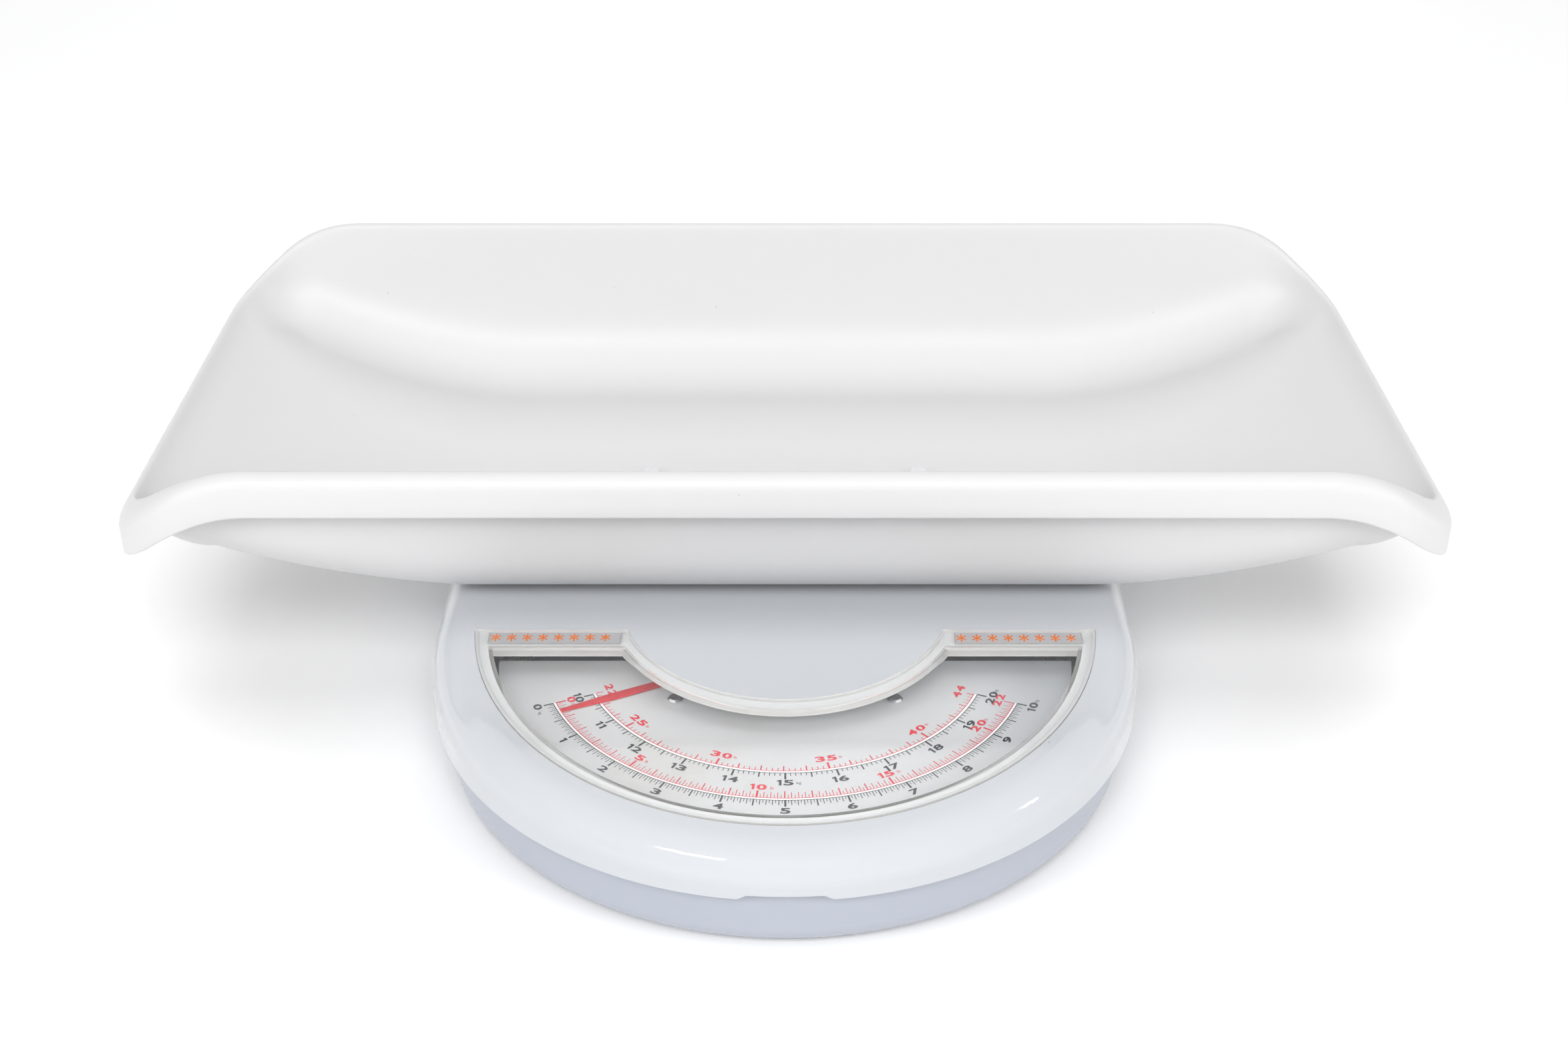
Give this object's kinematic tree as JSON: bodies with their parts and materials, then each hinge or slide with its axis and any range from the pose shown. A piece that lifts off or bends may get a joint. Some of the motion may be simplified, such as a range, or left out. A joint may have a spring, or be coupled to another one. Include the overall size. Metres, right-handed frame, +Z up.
{
  "type": "mechanical baby scale",
  "caption": "Mechanical baby scale: a long white trough on a D-shaped cover that sinks on levers and springs and turns a red pointer over a half-round kg and lb dial under a clear lens",
  "frame": {"origin": "centre of the bounding box on the table", "axes": "X along the tray, Y from the dial to the back, Z up"},
  "size_m": [0.544, 0.3914, 0.131],
  "materials": {
    "tray_white": "moulded, smooth, soft gloss",
    "cover_white": "moulded, glossy, cool white",
    "pan_grey": "moulded, bluish grey-white",
    "seat_white": "flat sheet, satin",
    "lens_clear": "clear acrylic, polished",
    "dial_silver": "printed satin sheet with fine scratches",
    "pointer_red": "red, slightly matte",
    "zinc_screw": "zinc plated",
    "bright_steel": "turned",
    "plated_steel": "pressed sheet, zinc plated",
    "spring_steel": "drawn wire",
    "brass": "turned",
    "wheel_plastic": "moulded, knurled rim",
    "foot_rubber": "matt"
  },
  "bodies": {
    "base": {"base_pan": "pan_grey", "rubber_feet": "foot_rubber", "fulcrum_stands": "plated_steel", "spring_bracket": "plated_steel", "hanger_bar": "plated_steel", "adjusting_screw": "bright_steel", "crank_bracket": "plated_steel", "crank_pin": "plated_steel", "pinion_bracket": "plated_steel", "upper_bush": "brass", "lower_bush": "brass", "dial_plate": "dial_silver", "dial_posts": "plated_steel", "dial_screws": "zinc_screw"},
    "platform": {"top_cover": "cover_white", "lens": "lens_clear", "platform_frame": "plated_steel", "load_posts": "bright_steel", "seat_plate": "seat_white", "tray": "tray_white", "tray_screws": "zinc_screw"},
    "long_levers": {"long_lever_left": "plated_steel", "long_lever_right": "plated_steel"},
    "short_levers": {"short_lever_left": "plated_steel", "short_lever_right": "plated_steel"},
    "spring_carrier": {"spring_plate": "plated_steel", "main_spring_left": "spring_steel", "main_spring_right": "spring_steel"},
    "crank": {"bell_crank": "plated_steel"},
    "rack_bar": {"rack": "plated_steel"},
    "pointer_shaft": {"pinion_shaft": "bright_steel", "pinion": "brass", "pointer_hub": "brass", "pointer": "pointer_red"},
    "zero_adjuster": {"zero_wheel": "wheel_plastic"}
  },
  "joints": [
    {"name": "platform_slide", "type": "slide", "parent": "base", "child": "platform", "axis": [0, 0, -1], "range_m": [0, 0.0013], "stiffness_N_per_m": 151000, "springref_m": -0.00015},
    {"name": "long_lever_tilt", "type": "hinge", "parent": "base", "child": "long_levers", "pos_m": [0, 0.13275, 0.02], "axis": [1, 0, 0], "range_deg": [0, 1.46]},
    {"name": "short_lever_tilt", "type": "hinge", "parent": "base", "child": "short_levers", "pos_m": [0, -0.03725, 0.02], "axis": [-1, 0, 0], "range_deg": [0, 1.46]},
    {"name": "spring_plate_slide", "type": "slide", "parent": "base", "child": "spring_carrier", "axis": [0, 0, -1], "range_m": [0, 0.00755], "deforming": ["main_spring_left", "main_spring_right"]},
    {"name": "crank_swing", "type": "hinge", "parent": "base", "child": "crank", "pos_m": [-0.0071, -0.15414, 0.012], "axis": [1, 0, 0], "range_deg": [0, 46.8]},
    {"name": "rack_slide", "type": "slide", "parent": "base", "child": "rack_bar", "axis": [0, -1, 0], "range_m": [0, 0.01707]},
    {"name": "pointer_spin", "type": "hinge", "parent": "base", "child": "pointer_shaft", "pos_m": [0, -0.05125, 0.0406], "axis": [0, 0, 1], "range_deg": [0, 271.75]},
    {"name": "zero_wheel_turn", "type": "hinge", "parent": "base", "child": "zero_adjuster", "pos_m": [0, -0.17925, 0.0288], "axis": [0, 0, 1], "range_deg": [-180, 180]}
  ],
  "couplings": [
    {"joint": "long_lever_tilt", "follows": "platform_slide", "rad_per_m": 19.608},
    {"joint": "short_lever_tilt", "follows": "platform_slide", "rad_per_m": 19.608},
    {"joint": "spring_plate_slide", "follows": "platform_slide", "ratio": 5.8039},
    {"joint": "crank_swing", "follows": "platform_slide", "rad_per_m": 628.18},
    {"joint": "rack_slide", "follows": "platform_slide", "ratio": 13.134},
    {"joint": "pointer_spin", "follows": "platform_slide", "rad_per_m": 3648.3}
  ]
}
